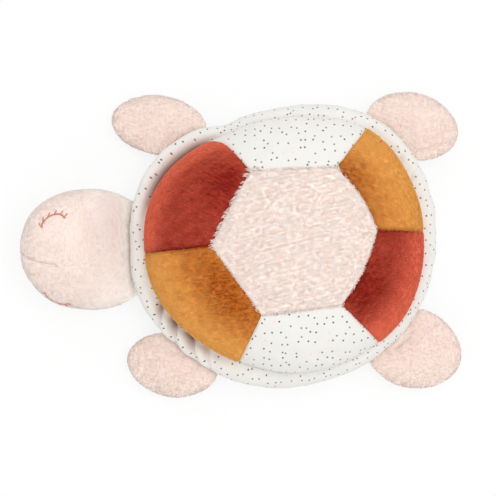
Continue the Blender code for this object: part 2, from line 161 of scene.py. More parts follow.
shell_half_length = 107 * MM
shell_rise = 49 * MM
shell_fullness = 2.35
seam_height = 42 * MM
shell_middle = np.array((0, 0, seam_height))
shell_outline = (
    1.00, 1.01, 1.015, 1.035, 1.025, 0.96, 0.925, 0.915, 0.915, 0.955, 1.00, 1.02,
    1.01, 1.00, 0.965, 0.925, 0.905, 0.90, 0.915, 0.93, 0.95, 0.975, 0.995, 0.995,
)
hexagon_middle = np.array((7.0, 3.5)) * MM
hexagon_corners = hexagon_middle + np.array(
    ((63, 8.4), (32.1, 56), (-33.4, 53.2), (-63, -3.4), (-25.2, -56), (35.9, -48.2))
) * MM
hexagon_crown = 4.0 * MM
# How far each side of the hexagon curves out, from the tail's right side round to the tail's left
side_bulges = np.array((3.8, 0.0, 1.2, 0.0, 0.0, 3.8)) * MM
knitted_backing = 0.9 * MM
fur_strands = 9000
fur_curls = 1600
fur_tufts = 620
root_depth = 0.3 * MM
points_per_strand = 10
# How wide a strand lies on the flat map, where the whole cloth is 1 wide
strand_on_map = 0.004
# How much of a strand's chance it shares with its whole curl
curl_share = 0.6
head_wards = np.array((-1.0, -0.1, 0.0))


def closed_curve(shares, bearing):
    """A smooth closed curve through shares at equal steps of bearing: each piece is the cubic
    whose slope at either end is half the difference of the shares beside that end."""
    step = np.asarray(bearing) / (2 * np.pi) * len(shares)
    first = np.floor(step).astype(int)
    part = step - first
    a, b, c, d = (np.take(shares, first + offset, mode="wrap") for offset in (-1, 0, 1, 2))
    bend = 2 * a - 5 * b + 4 * c - d + part * (3 * (b - c) + d - a)
    return b + 0.5 * part * (c - a + part * bend)


def rim_radius(bearing):
    """The rim seam's radius at a bearing: the half length times the outline's share."""
    return shell_half_length * closed_curve(shell_outline, bearing)


def towards(bearing):
    """The direction of a bearing in plan: its cosine and its sine."""
    return np.stack((np.cos(bearing), np.sin(bearing)), -1)


def unit(vectors):
    """The same vectors, each divided by its length."""
    return vectors / np.maximum(np.linalg.norm(vectors, axis=-1, keepdims=True), 1e-9)


def on_dome(x, y, lift):
    """Over x and y: height is the rise times (1 - share^p)^(1/p), with share the way out to the
    rim, and lift is added along the surface's normal, the gradient of share^p + height^p."""
    def share_at(x, y):
        """The way out from the middle to the rim: radius over the rim's radius."""
        return np.hypot(x, y) / rim_radius(np.arctan2(y, x))

    share = np.minimum(share_at(x, y), 1)
    rise = (1 - share**shell_fullness) ** (1 / shell_fullness)
    step = 0.1 * MM
    lean_x = (share_at(x + step, y) - share_at(x - step, y)) / (2 * step)
    lean_y = (share_at(x, y + step) - share_at(x, y - step)) / (2 * step)
    steep = share ** (shell_fullness - 1)
    normal = unit(np.stack((steep * lean_x, steep * lean_y, rise ** (shell_fullness - 1) / shell_rise), -1))
    return np.stack((x, y, seam_height + shell_rise * rise), -1) + normal * np.asarray(lift)[..., None]


def hexagon_side(index, share):
    """A point on a side of the hexagon: the straight side, pushed out square to it by the side's
    bulge times the sine of pi times the share."""
    first, last = hexagon_corners[index], hexagon_corners[(index + 1) % 6]
    share = share[..., None]
    outward = unit((last - first)[..., ::-1] * (1, -1))
    bulge = side_bulges[index][..., None] * np.sin(np.pi * share)
    return first * (1 - share) + last * share + outward * bulge


def rounded(share, power, root=None):
    """Falls from 1 to 0 as share goes from 0 to 1: (1 - share^power)^(1/root)."""
    return np.maximum(1 - np.clip(np.abs(share), 0, 1) ** power, 0) ** (1 / (root or power))


def smooth(share):
    """Rises from 0 to 1 with no slope at either end: 3 s^2 - 2 s^3."""
    share = np.clip(share, 0, 1)
    return share * share * (3 - 2 * share)


def bell(off, width):
    """A bell curve: e to the minus square of off over width."""
    return np.exp(-((off / width) ** 2))


def ripple(place, wavelength, seed):
    """Smooth noise from about -1 to 1: seven sine waves of like wavelength in random directions over
    the place's coordinates, summed and divided by the root of their number."""
    waves = 7
    random = np.random.default_rng(seed)
    turns = unit(random.normal(size=(waves, place.shape[-1])))
    turns *= 2 * np.pi / wavelength * random.uniform(0.7, 1.4, (waves, 1))
    phases = random.uniform(0, 2 * np.pi, waves)
    return np.sin(place @ turns.T + phases).sum(-1) / np.sqrt(waves)


def normals_of(skin, wrap, middle):
    """Unit normals of a grid: the cross product of its two directions, turned away from the middle.
    Where a row shrinks to a pole, they are the mean of the next row's."""
    if wrap:
        ring = np.concatenate((skin[:, -1:], skin, skin[:, :1]), 1)
        across = ring[:, 2:] - ring[:, :-2]
    else:
        across = np.gradient(skin, axis=1)
    normals = np.cross(across, np.gradient(skin, axis=0))
    size = np.linalg.norm(normals, axis=-1, keepdims=True)
    normals = normals / np.maximum(size, 1e-15)
    for edge, inner in ((0, 1), (-1, -2)):
        if size[edge].max() < 0.05 * size[inner].mean():
            normals[edge] = unit(normals[inner].mean(0))
    return normals if ((skin - middle) * normals).sum() > 0 else -normals


def grid_faces(skin, normals, wrap, poles):
    """Point numbers of a grid, its quads, its triangles where two points meet in a pole, and whether
    they had to be turned round to face along the normals."""
    rows, columns = skin.shape[:2]
    index = np.arange(rows * columns).reshape(rows, columns)
    for pole in poles:
        index[pole] = index[pole, 0]
    if wrap:
        index = np.hstack((index, index[:, :1]))
    quads = np.stack((index[:-1, :-1], index[:-1, 1:], index[1:, 1:], index[1:, :-1]), -1).reshape(-1, 4)
    first = quads[:, 0] == quads[:, 1]
    last = quads[:, 2] == quads[:, 3]
    triangles = np.concatenate((quads[first][:, 1:], quads[last][:, :3]))
    quads = quads[~first & ~last]
    corner = skin[rows // 2, 0]
    facing = np.cross(skin[rows // 2 + 1, 0] - corner, skin[rows // 2, 1] - corner)
    turned = (facing * normals[rows // 2, 0]).sum() > 0
    if turned:
        quads, triangles = quads[:, ::-1], triangles[:, ::-1]
    return index, quads, triangles, turned


def bare_part(layers, normals, quads, triangles):
    """A closed part without pile, of one or two layers of a grid, whose flat map is the grid's own."""
    rows, columns = layers.shape[1:3]
    flat = np.stack(np.meshgrid(np.linspace(0, 1, columns), np.linspace(0, 1, rows)), -1).reshape(-1, 2)
    points = layers.reshape(-1, 3)
    return {"points": points, "quads": quads, "triangles": triangles,
            "flat": np.tile(flat, (len(layers), 1)), "normals": normals.reshape(-1, 3),
            "pile": np.zeros(len(points)), "chance": np.full(len(points), 0.5)}


def cloth(skin, normals, thickness, wrap=False, poles=()):
    """A closed sheet: the grid, the same grid a thickness further in, and a wall round its edge."""
    index, quads, triangles, turned = grid_faces(skin, normals, wrap, poles)
    inner = skin.shape[0] * skin.shape[1]
    edges = [] if 0 in poles else [index[0]]
    edges += [] if -1 in poles else [index[-1][::-1]]
    edges += [] if wrap else [index[:, -1], index[:, 0][::-1]]
    walls = np.concatenate([
        np.stack((edge[:-1], edge[1:], edge[1:] + inner, edge[:-1] + inner), -1) for edge in edges
    ])
    if not turned:
        walls = walls[:, ::-1]
    quads = np.concatenate((quads, quads[:, ::-1] + inner, walls))
    triangles = np.concatenate((triangles, triangles[:, ::-1] + inner))
    layers = np.stack((skin, skin - normals * thickness))
    return bare_part(layers, np.stack((normals, -normals)), quads, triangles)


def scattered(skin, normals, count, random, wrap=False):
    """Places spread evenly over a grid: cells drawn by their area, and a point within each."""
    if wrap:
        skin = np.concatenate((skin, skin[:, :1]), 1)
        normals = np.concatenate((normals, normals[:, :1]), 1)
    area = np.linalg.norm(np.cross(skin[1:, 1:] - skin[:-1, :-1], skin[1:, :-1] - skin[:-1, 1:]), axis=-1)
    chosen = random.choice(area.size, count, p=(area / area.sum()).reshape(-1))
    row, column = np.divmod(chosen, area.shape[1])
    u, v = random.random((2, count, 1))

    def between(grid):
        """The grid's values at the places: straight lines between each cell's four corners."""
        top = grid[row, column] * (1 - u) + grid[row, column + 1] * u
        bottom = grid[row + 1, column] * (1 - u) + grid[row + 1, column + 1] * u
        return top * (1 - v) + bottom * v

    flat = np.stack(((column + u[:, 0]) / area.shape[1], (row + v[:, 0]) / area.shape[0]), -1)
    return between(skin), unit(between(normals)), flat


def clumps(roots, count, random):
    """Which of a number of randomly chosen roots each root is nearest to, and those chosen roots."""
    chosen = roots[random.choice(len(roots), count, replace=False)]
    nearest = [((some[:, None] - chosen) ** 2).sum(-1).argmin(1) for some in np.array_split(roots, 24)]
    return np.concatenate(nearest), chosen


def tube_rings(line, upright, radius, turns):
    """Rings round lines: at each turn the radius times its cosine to the right and its sine upwards,
    square to the line's way. Also the directions out to the rings' corners, and the way."""
    way = unit(np.gradient(line, axis=1))
    right = unit(np.cross(way, upright[:, None]))
    up = np.cross(right, way)
    outward = np.stack([np.cos(turn) * right + np.sin(turn) * up for turn in turns], 2)
    return line[:, :, None] + radius[..., None] * outward, outward, way


def tube_quads(rings, corners):
    """Quads between the neighbouring rings of one tube."""
    return np.array([
        (corners * ring + k, corners * ring + (k + 1) % corners,
         corners * (ring + 1) + (k + 1) % corners, corners * (ring + 1) + k)
        for ring in range(rings - 1) for k in range(corners)
    ])


def strands(roots, normals, flat, lean, length, width, rise, curl, random, softness):
    """Pile: from each root a three-sided tapered tube. Its middle line leaves along the normal,
    rise times the length high, and bends over along lean, with a sideways sine curl. Softness is
    how far its own normals are turned to the cloth's, so that the light falls on it as on a nap."""
    count = len(roots)
    lean = unit(lean - (lean * normals).sum(-1, keepdims=True) * normals)
    aside = np.cross(normals, lean)
    steps = np.array((0.0, 0.38, 0.72, 1.0))
    phase = random.uniform(0, 2 * np.pi, (count, 1))
    rise = np.asarray(rise).reshape(-1, 1)
    height = rise * np.sin(steps * np.pi / 2)
    ahead = np.sqrt(1 - rise**2) * steps**1.4
    bend = curl * (np.sin(steps * 4 + phase) - np.sin(phase))
    line = roots[:, None] + length[:, None, None] * (
        normals[:, None] * height[..., None]
        + lean[:, None] * ahead[..., None]
        + aside[:, None] * bend[..., None]
    )
    line[:, 0] -= normals * root_depth
    radius = width[:, None, None] / 2 * np.array((0.9, 1.0, 0.72, 0.0))[:, None]
    rings, outward, way = tube_rings(line, normals, radius, np.radians((330, 210, 90)))
    points = np.concatenate((rings[:, :3].reshape(count, 9, 3), line[:, 3:]), 1)
    outward = np.concatenate((outward[:, :3].reshape(count, 9, 3), way[:, 3:]), 1)
    outward = outward * (1 - softness) + normals[:, None] * softness
    start = np.arange(count)[:, None, None] * points_per_strand
    tips = np.array([(6, 7, 9), (7, 8, 9), (8, 6, 9), (2, 1, 0)])
    spread = np.array([(0.4 * (k - 1), 0.5 * ring) for ring in range(3) for k in range(3)] + [(0.0, 1.5)])
    return {"points": points.reshape(-1, 3), "quads": (tube_quads(3, 3) + start).reshape(-1, 4),
            "triangles": (tips + start).reshape(-1, 3),
            "flat": (flat[:, None] + spread * strand_on_map).reshape(-1, 2),
            "normals": outward.reshape(-1, 3),
            "pile": np.tile(np.append(np.repeat(steps[:3], 3), 1), count),
            "chance": np.repeat(random.random(count), points_per_strand)}


def curled_chance(nearest, curls, random):
    """Each strand's chance: a share of its curl's chance and the rest its own, at all its points."""
    of_curl = random.random(curls)[nearest]
    return np.repeat(curl_share * of_curl + (1 - curl_share) * random.random(len(nearest)), points_per_strand)


def piece(name, parts, material, node, body=None, tone=None, prints=None):
    """One object of several closed parts, with a flat map and the pile, chance and tone values."""
    offsets = np.cumsum([0] + [len(part["points"]) for part in parts])
    points = np.concatenate([part["points"] for part in parts])
    quads = np.concatenate([part["quads"] + start for part, start in zip(parts, offsets)])
    triangles = np.concatenate([part["triangles"] + start for part, start in zip(parts, offsets)])
    corners = np.concatenate((quads.reshape(-1), triangles.reshape(-1)))
    used = np.zeros(len(points), bool)
    used[corners] = True
    loops = (np.cumsum(used) - 1)[corners]
    starts = np.concatenate((np.arange(len(quads)) * 4, len(quads) * 4 + np.arange(len(triangles)) * 3))
    mesh = bpy.data.meshes.new(name)
    mesh.vertices.add(used.sum())
    mesh.vertices.foreach_set("co", points[used].astype(np.float32).reshape(-1))
    mesh.loops.add(len(loops))
    mesh.loops.foreach_set("vertex_index", loops.astype(np.int32))
    mesh.polygons.add(len(starts))
    mesh.polygons.foreach_set("loop_start", starts.astype(np.int32))
    mesh.update(calc_edges=True)
    values = {key: np.concatenate([part[key] for part in parts])[used]
              for key in ("flat", "normals", "pile", "chance")}
    flat, outward = values.pop("flat"), unit(values.pop("normals"))
    maps = {"OFBake": flat} if prints is None else {"OFBake": flat, "print": prints[used]}
    for key, places in maps.items():
        layer = mesh.uv_layers.new(name=key)
        layer.data.foreach_set("uv", places[loops].astype(np.float32).reshape(-1))
    values["tone"] = np.full(used.sum(), 0.5) if tone is None else tone(flat[:, 0], flat[:, 1], points[used])
    for key, value in values.items():
        mesh.attributes.new(key, "FLOAT", "POINT").data.foreach_set("value", value.astype(np.float32))
    mesh.shade_smooth()
    mesh.normals_split_custom_set_from_vertices(outward.astype(np.float32))
    mesh.materials.append(material)
    made = bpy.data.objects.new(name, mesh)
    bpy.context.scene.collection.objects.link(made)
    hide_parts(node)
    if body:
        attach(made, body)
    return made


mixed_colour = {"data_type": "RGBA"}
smooth_steps = {"interpolation_type": "SMOOTHSTEP"}
scaled_and_added = {"operation": "MULTIPLY_ADD"}


def pile_material(name, root, deep, bright, sheen, tint, variation):
    """Dyed polyester pile: colour runs from deep to bright with tone and each strand's chance, so it carries
    whatever painted light and shade the tone holds. Towards the cloth it runs to the root colour, a painted
    shade between the strands, and where the tone is over 0.5 the root colour is raised towards bright, a
    painted light; the fibres' sides give the soft sheen."""
    material, tree, shader = new_material(name)
    tone, chance, pile = (
        add_node(tree, "ShaderNodeAttribute", {"attribute_name": key}).outputs["Fac"]
        for key in ("tone", "chance", "pile")
    )
    stray = add_node(tree, "ShaderNodeMath", scaled_and_added, _0=chance, _1=variation, _2=-variation / 2)
    shade = add_node(tree, "ShaderNodeMath", {"operation": "ADD", "use_clamp": True}, _0=tone,
                     _1=stray.outputs[0])
    dye = add_node(tree, "ShaderNodeMix", mixed_colour, _0=shade.outputs[0], _6=linear(deep),
                   _7=linear(bright))
    # Painted shade between the strands: towards the cloth the colour runs to the root colour
    depth = add_node(tree, "ShaderNodeMapRange", smooth_steps, Value=pile, From_Min=-0.5, From_Max=0.5)
    # Painted light: where the tone is over 0.5 the root colour is raised towards bright
    painted_light_on_roots = add_node(tree, "ShaderNodeMapRange", Value=tone, From_Min=0.5, From_Max=1.0, To_Max=0.6)
    ground = add_node(tree, "ShaderNodeMix", mixed_colour, _0=painted_light_on_roots.outputs[0], _6=linear(root),
                      _7=linear(bright))
    colour = add_node(tree, "ShaderNodeMix", mixed_colour, _0=depth.outputs[0], _6=ground.outputs[2],
                      _7=dye.outputs[2])
    set_inputs(tree, shader, Base_Color=colour.outputs[2], Roughness=0.9, Specular_IOR_Level=0.2,
               Sheen_Weight=sheen, Sheen_Roughness=0.4, Sheen_Tint=linear(tint))
    return material


# Teddy fur, knitted with a long crimped pile and brushed: soft curls, with painted shade in pink down the
# furrows
teddy_fur = pile_material("teddy_fur_pale_pink", "#FFDFD0", "#FFDACA", "#FFF8F2", 0.12, "#FFF0E8", 0.22)

around, out = np.meshgrid(np.linspace(0, 6, 240, endpoint=False), 1 - (1 - np.linspace(0, 1, 56)) ** 1.5)
sector = around.astype(int)
edge = hexagon_side(sector, around - sector) - hexagon_middle
spot = hexagon_middle + edge * out[..., None]
lift = hexagon_crown * rounded(out, 3, 1.6) - 0.5 * MM * smooth((out - 0.97) / 0.03)
hexagon_skin = on_dome(spot[..., 0], spot[..., 1], lift)


def furrows(points):
    """The fur's waves: noise that is stretched along the nap, 3 mm from crest to crest."""
    slanted = points - points[..., 1:2] * (0.35, 0, 0)
    return ripple(slanted * (0.36, 1.0, 1.0) + 0.8 * MM * ripple(points, 9 * MM, 4)[..., None], 3.4 * MM, 3)


waves = 0.45 * MM * ripple(hexagon_skin, 22 * MM, 2) + 0.5 * MM * furrows(hexagon_skin)
hexagon_skin[..., 2] += waves * (1 - out**6)
hexagon_normals = normals_of(hexagon_skin, True, shell_middle)

random = np.random.default_rng(11)
roots, normals, flat = scattered(hexagon_skin, hexagon_normals, fur_strands, random, wrap=True)
nearest, middles = clumps(roots, fur_curls, random)
tuft, tufts = clumps(roots, fur_tufts, random)
swirl = np.stack((ripple(roots, 16 * MM, 5), ripple(roots, 12 * MM, 6), np.zeros(fur_strands)), -1)
lean = head_wards + 0.35 * swirl + (middles[nearest] + head_wards * 2.0 * MM - roots) / (3.4 * MM)
lean += 0.2 * random.normal(size=lean.shape)
# Beside the rust panel the fur hangs over in tufts, and beside the ochre one it is brushed back
rust_side = smooth((roots[:, 1] - hexagon_middle[1] + 9 * MM) / (7 * MM))
head_edge = smooth((flat[:, 1] - 0.8) / 0.14) * (roots[:, 0] < hexagon_middle[0] - 24 * MM)
brushed_back = head_edge * (1 - rust_side)
head_edge = head_edge * rust_side
lean += head_edge[:, None] * (tufts[tuft] + head_wards * 2.5 * MM - roots) / (1.6 * MM)
side_edge = smooth((flat[:, 1] - 0.84) / 0.12) * (np.abs(roots[:, 1] - hexagon_middle[1]) > 46 * MM)
lean[:, 1] += 1.6 * side_edge * np.sign(roots[:, 1])
length = random.uniform(2.0, 3.2, fur_strands) + 1.9 * head_edge + 0.7 * side_edge - 0.6 * brushed_back
width = random.uniform(0.42, 0.7, fur_strands)
rise = 0.35 + 0.1 * head_edge + 0.2 * side_edge
fur = strands(roots, normals, flat, lean, length * MM, width * MM, rise, 0.10, random, 0.8)
fur["chance"] = curled_chance(nearest, fur_curls, random)
backing = cloth(hexagon_skin, hexagon_normals, knitted_backing, wrap=True, poles=(0,))
# The tone rises and falls with the furrows' height: painted shade, pinker, in their troughs
hexagon = piece(
    "shell_fur_hexagon", [backing, fur], teddy_fur, "shell_hexagon_panel", "body",
    tone=lambda u, v, points: 0.69 + 0.19 * furrows(points),
)


# Shell, four velour panels: short dense velour in rust and ochre, with its nap towards the
# head. Each is cut with a curved rim, sewn in with turned edges, and crowned by the wadding.

rim_bearings = np.radians((6.0, 55.0, 121.0, 183.0, 248.5, 314.5, 366.0))
# How far each seam between two panels bends sideways as it comes to the rim
seam_bends = np.radians((0, 0, 5, 0, 0, 0, 0))
panel_crown = 4.5 * MM
velour_turn_in = 1.0 * MM
velour_strands = 8500
velour_curls = 1100


def crowded(share, amount):
    """Shares from 0 to 1 drawn towards both ends: s less the amount times sin(2 pi s) / (2 pi)."""
    return share - amount * np.sin(2 * np.pi * share) / (2 * np.pi)


def panel_place(u, v):
    """Shares across and along a side panel, whose grid crowds towards the four edges, and the share
    along again, crowded once more towards the rim, where the dome is steep, by 1 - (1 - v)^2."""
    across, along = crowded(u, 0.6), crowded(v, 0.5)
    return across, along, 1 - (1 - along) ** 2


def panel_skin(index, columns, rows, turn_in):
    """A side panel's grid: rows run from a side of the hexagon to the rim between two seams. The
    crown is the sine across times the sine along, to the power 0.6, and is drawn in at the rim."""
    across, along, way = panel_place(*np.meshgrid(np.linspace(0, 1, columns), np.linspace(0, 1, rows)))
    turn = rim_bearings[index] + (rim_bearings[index + 1] - rim_bearings[index]) * across
    turn = turn + (seam_bends[index] * (1 - across) + seam_bends[index + 1] * across) * way**7
    rim = rim_radius(turn)[..., None] * towards(turn)
    start = hexagon_side(index, across)
    spot = start + (rim - start) * way[..., None]
    crown = np.abs(np.sin(np.pi * across) * np.sin(np.pi * along)) ** 0.6
    drawn_in = 1 - 0.9 * smooth((along - 0.6) / 0.4)
    edge = np.minimum(np.minimum(across, 1 - across) * 2, np.minimum(along, 1 - along) * 2)
    lift = panel_crown * (crown * drawn_in) - turn_in * (1 - smooth(edge / 0.05))
    return on_dome(spot[..., 0], spot[..., 1], lift)


velours = {
    # Rust velour, dyed and sheared: painted shade where one looks into the pile, and painted highlight in
    # orange at its rim
    "rust": pile_material("sheared_velour_rust", "#A22A1C", "#8C1C10", "#FF7A5C", 0.2, "#FF9078", 0.32),
    # Ochre velour, dyed and sheared: golden, with painted highlight at its rim and painted shade in a
    # brownish gold where one looks into the pile
    "ochre": pile_material("sheared_velour_ochre", "#DC7E28", "#A44A0C", "#FFB65E", 0.2, "#FFC880", 0.32),
}


def velour_panel(dye, place, index, seed, rim_start, painted_shade_at, sides):
    """A panel's cloth and its pile. The tone brightens from rim_start to the rim: painted highlight where the
    dome turns down. Each amount of sides brightens a side seam broadly or, if below 0, darkens it narrowly
    with painted shade in the seam. It is darkest, with painted shade where one looks into the pile, round the
    spot that the argument after rim_start gives in shares of the panel."""
    skin = panel_skin(index, 72, 56, velour_turn_in)
    skin[..., 2] += 0.3 * MM * ripple(skin, 24 * MM, seed)
    normals = normals_of(skin, False, shell_middle)
    random = np.random.default_rng(seed)
    roots, up, flat = scattered(skin, normals, velour_strands, random)
    nearest, middles = clumps(roots, velour_curls, random)
    lean = head_wards * 1.3 + (middles[nearest] - roots) / (3 * MM) + 0.3 * random.normal(size=roots.shape)
    tail_edge = (1 - smooth(flat[:, 1] / 0.16)) * (index in (0, 5))
    length = (random.uniform(1.5, 2.3, velour_strands) + 1.3 * tail_edge) * MM
    width = random.uniform(0.4, 0.6, velour_strands) * MM
    pile = strands(roots, up, flat, lean, length, width, 0.5 + 0.2 * tail_edge, 0.04, random, 0.8)
    pile["chance"] = curled_chance(nearest, velour_curls, random)

    def tone(u, v, points):
        """Painted highlight at the rim; brighter at some seams and in streaks; painted shade narrowly at
        other seams and round the darkest spot.
        """
        across, _, way = panel_place(u, v)
        # Painted light and shade: highlight towards the rim, shade narrowly in seams below 0 and round the
        # darkest spot
        rim = smooth((way - rim_start) / (1 - rim_start))
        seams = sum(side * np.exp(-off / (0.12 if side > 0 else 0.025))
                    for side, off in zip(sides, (across, 1 - across)))
        painted_shade = bell(across - painted_shade_at[0], 0.35) * bell(way - painted_shade_at[1], 0.28)
        streaks = (0.06 + 0.08 * painted_shade) * ripple(points * (0.4, 1.0, 1.0), 2.6 * MM, seed + 1)
        return 0.32 + 0.72 * rim + seams - 0.36 * painted_shade + 0.05 * ripple(points, 10 * MM, seed + 2) + streaks

    made = piece(f"shell_{dye}_panel_{place}", [cloth(skin, normals, knitted_backing), pile], velours[dye],
                 f"shell_{place}_panel", "body", tone=tone)


velour_panel("ochre", "rear_right", 0, 21, -0.4, (0.85, 0.1), (-0.5, 0.1))
velour_panel("rust", "front_right", 2, 31, 0.6, (0.2, 0.2), (0.4, -0.5))
velour_panel("ochre", "front_left", 3, 41, 0.12, (0.57, 0.24), (-0.5, 0.1))
velour_panel("rust", "rear_left", 5, 51, 0.32, (0.25, 0.15), (0.25, -0.5))


# Shell, two cotton panels: plain woven cotton, off-white, printed with small grey dots and a
# rare pink one. They are sewn in like the velour ones and lie smoother over the wadding.

dot_spacing = 7.0 * MM
dot_radius = 0.8 * MM
thread_spacing = 0.7 * MM
thread_scale = 0.314 / thread_spacing
clouds_per_metre = 60.0
cotton_turn_in = 0.5 * MM
cotton_thickness = 0.6 * MM


def cotton_material(name):
    """Printed cotton: a dot where the nearest of many scattered points is closer than its radius, and a plain
    weave of two crossed waves, drawn at twice a real thread's 0.35 mm so it shows. The more the tone is above
    0.5, the deeper the cloth lies in a fold and the more it is mixed to a warm brown: painted shade, warmed
    as by the light of the pile beside it."""
    material, tree, shader = new_material(name)
    place = add_node(tree, "ShaderNodeUVMap", {"uv_map": "print"}).outputs[0]
    dots = add_node(tree, "ShaderNodeTexVoronoi", {"voronoi_dimensions": "2D"}, Vector=place,
                    Scale=1 / dot_spacing, Randomness=0.8)
    ink = add_node(tree, "ShaderNodeMapRange", smooth_steps, Value=dots.outputs["Distance"],
                   From_Min=dot_radius / dot_spacing * 1.15, From_Max=dot_radius / dot_spacing * 0.7)
    lot = add_node(tree, "ShaderNodeSeparateColor", Color=dots.outputs["Color"]).outputs
    rare = add_node(tree, "ShaderNodeMath", {"operation": "GREATER_THAN"}, _0=lot[0], _1=0.93)
    faded = add_node(tree, "ShaderNodeMath", scaled_and_added, _0=lot[1], _1=0.3, _2=0.7)
    strength = add_node(tree, "ShaderNodeMath", product, _0=ink.outputs[0], _1=faded.outputs[0])
    cloud = add_node(tree, "ShaderNodeTexNoise", Vector=place, Scale=clouds_per_metre, Detail=3.0)
    tone = add_node(tree, "ShaderNodeAttribute", {"attribute_name": "tone"}).outputs["Fac"]
    # Painted shade in folds: a tone over 0.5 mixes the ground towards warm brown
    painted_fold_shade = add_node(tree, "ShaderNodeMapRange", Value=tone, From_Min=0.5, From_Max=1.0, To_Max=0.75)
    grey, pink, shaded, lit, fold_shade_brown = map(linear, ("#54524F", "#F3CFC2", "#E3E1DB", "#ECEAE5", "#9C6A58"))
    dye = add_node(tree, "ShaderNodeMix", mixed_colour, _0=rare.outputs[0], _6=grey, _7=pink)
    ground = add_node(tree, "ShaderNodeMix", mixed_colour, _0=cloud.outputs["Fac"], _6=shaded, _7=lit)
    ground = add_node(tree, "ShaderNodeMix", mixed_colour, _0=painted_fold_shade.outputs[0], _6=ground.outputs[2], _7=fold_shade_brown)
    colour = add_node(tree, "ShaderNodeMix", mixed_colour, _0=strength.outputs[0], _6=ground.outputs[2],
                      _7=dye.outputs[2])
    warp, weft = (
        add_node(tree, "ShaderNodeTexWave", {"bands_direction": way}, Vector=place, Scale=thread_scale,
                 Distortion=1.0, Detail=2.0).outputs["Fac"]
        for way in "XY"
    )
    weave = add_node(tree, "ShaderNodeMath", larger, _0=warp, _1=weft)
    bump = add_node(tree, "ShaderNodeBump", Strength=0.35, Distance=0.15 * MM, Height=weave.outputs[0])
    set_inputs(tree, shader, Base_Color=colour.outputs[2], Normal=bump.outputs[0], Roughness=0.85,
               Specular_IOR_Level=0.3, Sheen_Weight=0.15, Sheen_Roughness=0.5)
    return material


# Cotton, woven and printed: off-white and matt, its dots a little faded
dotted_cotton = cotton_material("printed_cotton_off_white")


def unrolled(points, middle):
    """Where each point of a dome lay on the flat cloth: its bearing kept, and its distance from
    the middle line stretched by the slope, as a mean of plan and depth."""
    reach = np.hypot(points[:, 0], points[:, 1])
    depth = np.abs(points[:, 2] - middle)
    stretch = np.sqrt(reach**2 + depth**2) / np.maximum(reach, 1e-6)
    return points[:, :2] * stretch[:, None]


def cotton_panel(place, index, seed):
    """A panel's grid with faint creases, which fade towards the seams."""
    skin = panel_skin(index, 96, 64, cotton_turn_in)
    skin[..., 2] += 0.25 * MM * ripple(skin, 17 * MM, seed)
    part = cloth(skin, normals_of(skin, False, shell_middle), cotton_thickness)
    made = piece(f"shell_cotton_panel_{place}", [part], dotted_cotton,
                 f"shell_{place}_panel", "body", prints=unrolled(part["points"], seam_height + shell_rise))


cotton_panel("right", 1, 61)
cotton_panel("left", 4, 62)


# Side band: a strip of the same cotton, gathered round the shell's rim and sewn to the belly
# below. It is loose, so it rolls outwards, sinks beside the rim seam and folds near the flippers.

band_depth = 12 * MM
band_half_height = 13 * MM
lower_seam_angle = np.radians(50)
band_depths = (
    1.00, 1.11, 1.21, 1.085, 0.925, 1.01, 0.875, 0.715, 1.065, 1.155, 1.15, 1.12,
    1.06, 1.20, 1.265, 1.27, 1.35, 1.345, 1.115, 0.93, 0.85, 0.775, 0.795, 0.945,
)
# How deep the band sinks beside the rim seam, every 15 degrees from the tail, in millimetres
valley_depths = (
    0.6, 0.8, 1.4, 1.8, 1.2, 0.5, 0.3, 0.5, 2.5, 11, 13, 4.5,
    0.5, 1.0, 3.0, 4.5, 2.0, 0.6, 0.4, 0.4, 0.5, 0.6, 0.6, 0.6,
)
# Folds across the band: the bearing at the rim and half of the slant down to the belly in degrees,
# width and depth in mm
band_folds = (
    (205, 7, 3.4, 6.5), (213.5, 7, 4.2, 8.0), (222.5, 8, 4.4, 8.0), (232, 6, 3.6, 3.4), (238, 3, 2.6, 1.0),
    (36, 3, 2.4, 1.6), (27.5, 3, 2.2, 1.8), (20, 2, 2.6, 1.0), (150, -3, 3.0, 1.2), (163, -3, 2.6, 1.0),
    (141, -3, 2.6, 1.0), (320, 2, 3.0, 0.8), (332, 2, 2.6, 0.9), (60, 3, 2.4, 0.7), (176, 0, 2.6, 0.8),
    (192, 2, 2.6, 0.9),
)
# Where the band's outline draws in: bearing and width in degrees, depth in mm
dip_bearing, dip_width, dip_depth = 116, 6.5, 3.8
# The band's mean radius: in mm for its folds, and a little more, with its width as cut, for its print
fold_radius = 115
printed_strip = (118 * MM, 32 * MM)
band_turn_in = 1.0 * MM


def ring_grid(columns, rows, first=0):
    """A grid of bearings once round, and of shares from the first to 1 across."""
    return np.meshgrid(np.linspace(0, 2 * np.pi, columns, endpoint=False), np.linspace(first, 1, rows))


def at_bearing(bearing, radius, height):
    """The point at a bearing, at a radius from the upright line through the shell's middle, and at
    a height."""
    return np.stack((radius * np.cos(bearing), radius * np.sin(bearing), height), -1)


def band_width(bearing):
    """How far the band rolls out past the rim at a bearing."""
    return band_depth * closed_curve(band_depths, bearing)


def on_band(bearing, turn, inset=0.0):
    """The rolled side: an ellipse about the rim, from straight up down to the lower seam."""
    radius = rim_radius(bearing) + (band_width(bearing) - inset) * np.cos(turn)
    height = seam_height - band_half_height + (band_half_height - inset) * np.sin(turn)
    return at_bearing(bearing, radius, height)


bearing, across = ring_grid(720, 44)
band_skin = on_band(bearing, np.pi / 2 - (np.pi / 2 + lower_seam_angle) * across)
band_normals = normals_of(band_skin, True, shell_middle)
ring = towards(bearing) * shell_half_length
gathers = ripple(ring, 9 * MM, 71) + 0.6 * ripple(ring, 5 * MM, 72)
gathers *= np.exp(-across / 0.12) + np.exp(-(1 - across) / 0.15)
